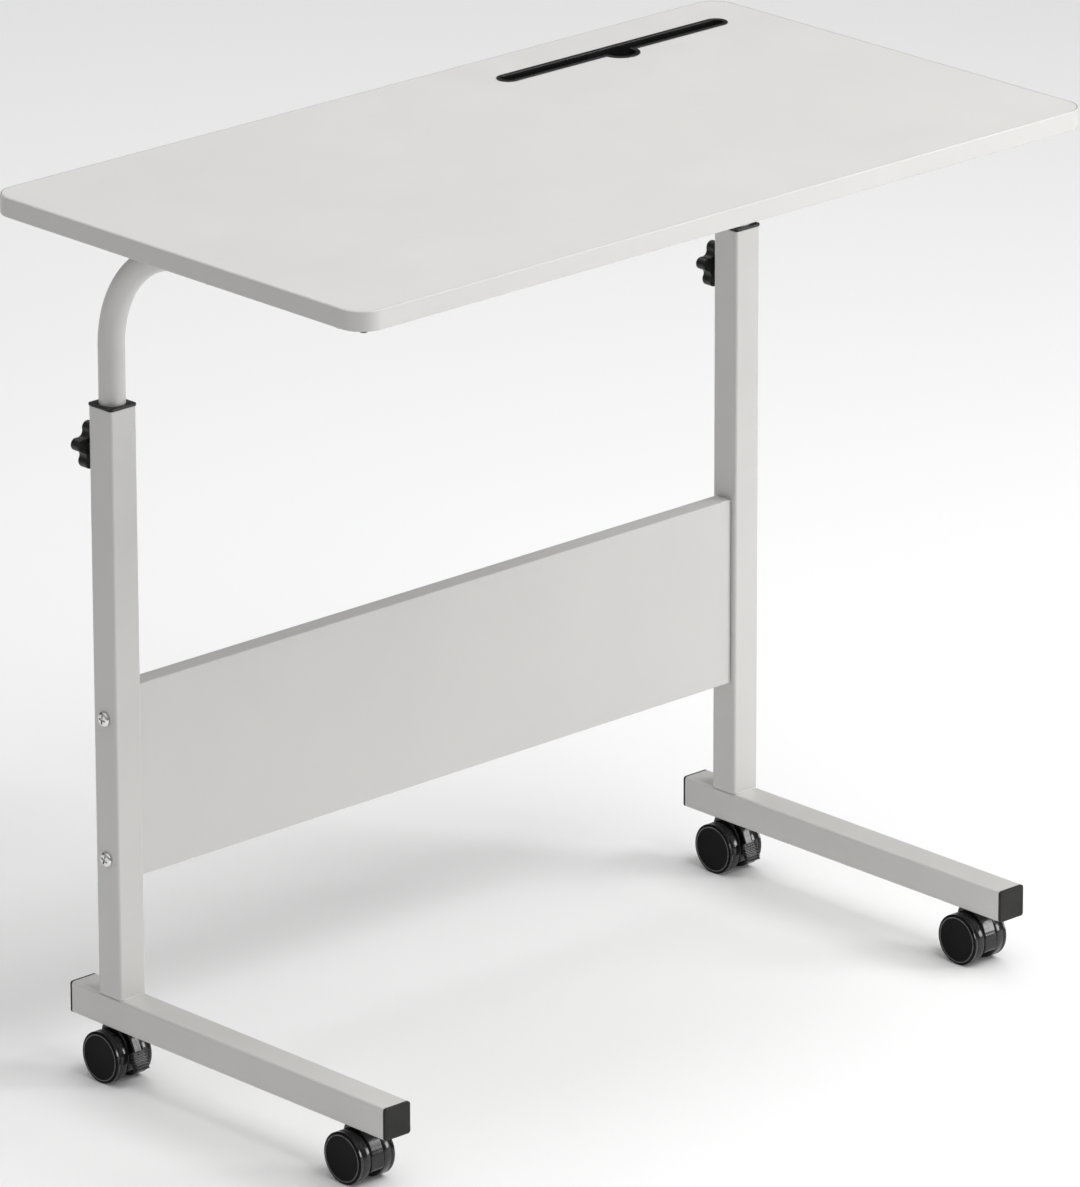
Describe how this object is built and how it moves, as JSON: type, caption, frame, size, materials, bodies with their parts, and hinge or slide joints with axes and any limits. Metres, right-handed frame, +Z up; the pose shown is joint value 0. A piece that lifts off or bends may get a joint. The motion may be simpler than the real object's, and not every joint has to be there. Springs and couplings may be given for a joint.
{
  "type": "overbed table",
  "caption": "Rectangular overbed table on a two-leg frame with H-form feet on casters, a tablet slot, and a top that slides up on round tubes held by star knobs.",
  "frame": {"origin": "on the floor under the middle of the tabletop", "axes": "+X along the long side of the tabletop, towards the tablet slot; +Y across it, towards the legs; +Z up"},
  "size_m": [0.73, 0.4, 0.684],
  "materials": {
    "white_powder_coat": "satin orange-peel powder coat",
    "white_laminate": "matte melamine laminate on particle board",
    "black_plastic": "fine moulded texture",
    "dark_cap_plastic": "matte moulded",
    "black_wheel_nylon": "satin nylon tread",
    "zinc_plated_steel": "dull zinc plating",
    "bright_steel": "bright nickel plating"
  },
  "bodies": {
    "frame": {"front_left_caster_nut": "zinc_plated_steel", "front_left_caster_stem": "zinc_plated_steel", "front_right_caster_nut": "zinc_plated_steel", "front_right_caster_stem": "zinc_plated_steel", "left_clamp_nut": "zinc_plated_steel", "left_foot": "white_powder_coat", "left_front_foot_cap": "dark_cap_plastic", "left_lower_panel_screw": "bright_steel", "left_post": "white_powder_coat", "left_post_collar": "black_plastic", "left_rear_foot_cap": "dark_cap_plastic", "left_upper_panel_screw": "bright_steel", "modesty_panel": "white_laminate", "rear_left_caster_nut": "zinc_plated_steel", "rear_left_caster_stem": "zinc_plated_steel", "rear_right_caster_nut": "zinc_plated_steel", "rear_right_caster_stem": "zinc_plated_steel", "right_clamp_nut": "zinc_plated_steel", "right_foot": "white_powder_coat", "right_front_foot_cap": "dark_cap_plastic", "right_lower_panel_screw": "bright_steel", "right_post": "white_powder_coat", "right_post_collar": "black_plastic", "right_rear_foot_cap": "dark_cap_plastic", "right_upper_panel_screw": "bright_steel"},
    "tabletop": {"left_front_top_screw": "zinc_plated_steel", "left_rear_top_screw": "zinc_plated_steel", "left_tube_end_plug": "black_plastic", "left_tube_glide": "black_plastic", "left_upper_tube": "white_powder_coat", "right_front_top_screw": "zinc_plated_steel", "right_rear_top_screw": "zinc_plated_steel", "right_tube_end_plug": "black_plastic", "right_tube_glide": "black_plastic", "right_upper_tube": "white_powder_coat", "tablet_slot_tray": "black_plastic", "tabletop_board": "white_laminate", "tabletop_edge_band": "white_laminate"},
    "left_stud": {"left_clamp_stud": "zinc_plated_steel"},
    "left_knob": {"left_knob": "black_plastic"},
    "right_stud": {"right_clamp_stud": "zinc_plated_steel"},
    "right_knob": {"right_knob": "black_plastic"},
    "rear_left_caster": {"rear_left_caster_housing": "black_plastic", "rear_left_caster_axle": "zinc_plated_steel"},
    "rear_left_left_wheel": {"rear_left_caster_left_wheel": "black_wheel_nylon"},
    "rear_left_right_wheel": {"rear_left_caster_right_wheel": "black_wheel_nylon"},
    "rear_left_pedal": {"rear_left_brake_pedal": "black_plastic"},
    "rear_right_caster": {"rear_right_caster_housing": "black_plastic", "rear_right_caster_axle": "zinc_plated_steel"},
    "rear_right_left_wheel": {"rear_right_caster_left_wheel": "black_wheel_nylon"},
    "rear_right_right_wheel": {"rear_right_caster_right_wheel": "black_wheel_nylon"},
    "rear_right_pedal": {"rear_right_brake_pedal": "black_plastic"},
    "front_left_caster": {"front_left_caster_housing": "black_plastic", "front_left_caster_axle": "zinc_plated_steel"},
    "front_left_left_wheel": {"front_left_caster_left_wheel": "black_wheel_nylon"},
    "front_left_right_wheel": {"front_left_caster_right_wheel": "black_wheel_nylon"},
    "front_right_caster": {"front_right_caster_housing": "black_plastic", "front_right_caster_axle": "zinc_plated_steel"},
    "front_right_left_wheel": {"front_right_caster_left_wheel": "black_wheel_nylon"},
    "front_right_right_wheel": {"front_right_caster_right_wheel": "black_wheel_nylon"}
  },
  "joints": [
    {"name": "height_slide", "type": "slide", "parent": "frame", "child": "tabletop", "axis": [0, 0, 1], "range_m": [-0.04, 0.13]},
    {"name": "left_stud_advance", "type": "slide", "parent": "frame", "child": "left_stud", "axis": [0, 1, 0], "range_m": [0, 0.0021]},
    {"name": "left_knob_turn", "type": "hinge", "parent": "left_stud", "child": "left_knob", "pos_m": [-0.3157, 0.1452, 0.4925], "axis": [0, 1, 0], "range_deg": [0, 720]},
    {"name": "right_stud_advance", "type": "slide", "parent": "frame", "child": "right_stud", "axis": [0, 1, 0], "range_m": [0, 0.0021]},
    {"name": "right_knob_turn", "type": "hinge", "parent": "right_stud", "child": "right_knob", "pos_m": [0.3157, 0.1452, 0.4925], "axis": [0, 1, 0], "range_deg": [0, 720]},
    {"name": "rear_left_swivel", "type": "hinge", "parent": "frame", "child": "rear_left_caster", "pos_m": [-0.3157, 0.136, 0.0428], "axis": [0, 0, 1], "continuous": true},
    {"name": "rear_left_left_wheel_spin", "type": "hinge", "parent": "rear_left_caster", "child": "rear_left_left_wheel", "pos_m": [-0.3157, 0.131, 0.02], "axis": [1, 0, 0], "continuous": true},
    {"name": "rear_left_right_wheel_spin", "type": "hinge", "parent": "rear_left_caster", "child": "rear_left_right_wheel", "pos_m": [-0.3157, 0.131, 0.02], "axis": [1, 0, 0], "continuous": true},
    {"name": "rear_left_brake_press", "type": "hinge", "parent": "rear_left_caster", "child": "rear_left_pedal", "pos_m": [-0.3157, 0.1215, 0.038], "axis": [1, 0, 0], "range_deg": [0, 6]},
    {"name": "rear_right_swivel", "type": "hinge", "parent": "frame", "child": "rear_right_caster", "pos_m": [0.3157, 0.136, 0.0428], "axis": [0, 0, 1], "continuous": true},
    {"name": "rear_right_left_wheel_spin", "type": "hinge", "parent": "rear_right_caster", "child": "rear_right_left_wheel", "pos_m": [0.3157, 0.131, 0.02], "axis": [1, 0, 0], "continuous": true},
    {"name": "rear_right_right_wheel_spin", "type": "hinge", "parent": "rear_right_caster", "child": "rear_right_right_wheel", "pos_m": [0.3157, 0.131, 0.02], "axis": [1, 0, 0], "continuous": true},
    {"name": "rear_right_brake_press", "type": "hinge", "parent": "rear_right_caster", "child": "rear_right_pedal", "pos_m": [0.3157, 0.1215, 0.038], "axis": [1, 0, 0], "range_deg": [0, 6]},
    {"name": "front_left_swivel", "type": "hinge", "parent": "frame", "child": "front_left_caster", "pos_m": [-0.3157, -0.132, 0.0428], "axis": [0, 0, 1], "continuous": true},
    {"name": "front_left_left_wheel_spin", "type": "hinge", "parent": "front_left_caster", "child": "front_left_left_wheel", "pos_m": [-0.3157, -0.137, 0.02], "axis": [1, 0, 0], "continuous": true},
    {"name": "front_left_right_wheel_spin", "type": "hinge", "parent": "front_left_caster", "child": "front_left_right_wheel", "pos_m": [-0.3157, -0.137, 0.02], "axis": [1, 0, 0], "continuous": true},
    {"name": "front_right_swivel", "type": "hinge", "parent": "frame", "child": "front_right_caster", "pos_m": [0.3157, -0.132, 0.0428], "axis": [0, 0, 1], "continuous": true},
    {"name": "front_right_left_wheel_spin", "type": "hinge", "parent": "front_right_caster", "child": "front_right_left_wheel", "pos_m": [0.3157, -0.137, 0.02], "axis": [1, 0, 0], "continuous": true},
    {"name": "front_right_right_wheel_spin", "type": "hinge", "parent": "front_right_caster", "child": "front_right_right_wheel", "pos_m": [0.3157, -0.137, 0.02], "axis": [1, 0, 0], "continuous": true}
  ],
  "couplings": [
    {"joint": "left_stud_advance", "follows": "left_knob_turn", "m_per_rad": 0.00015915},
    {"joint": "right_stud_advance", "follows": "right_knob_turn", "m_per_rad": 0.00015915}
  ]
}
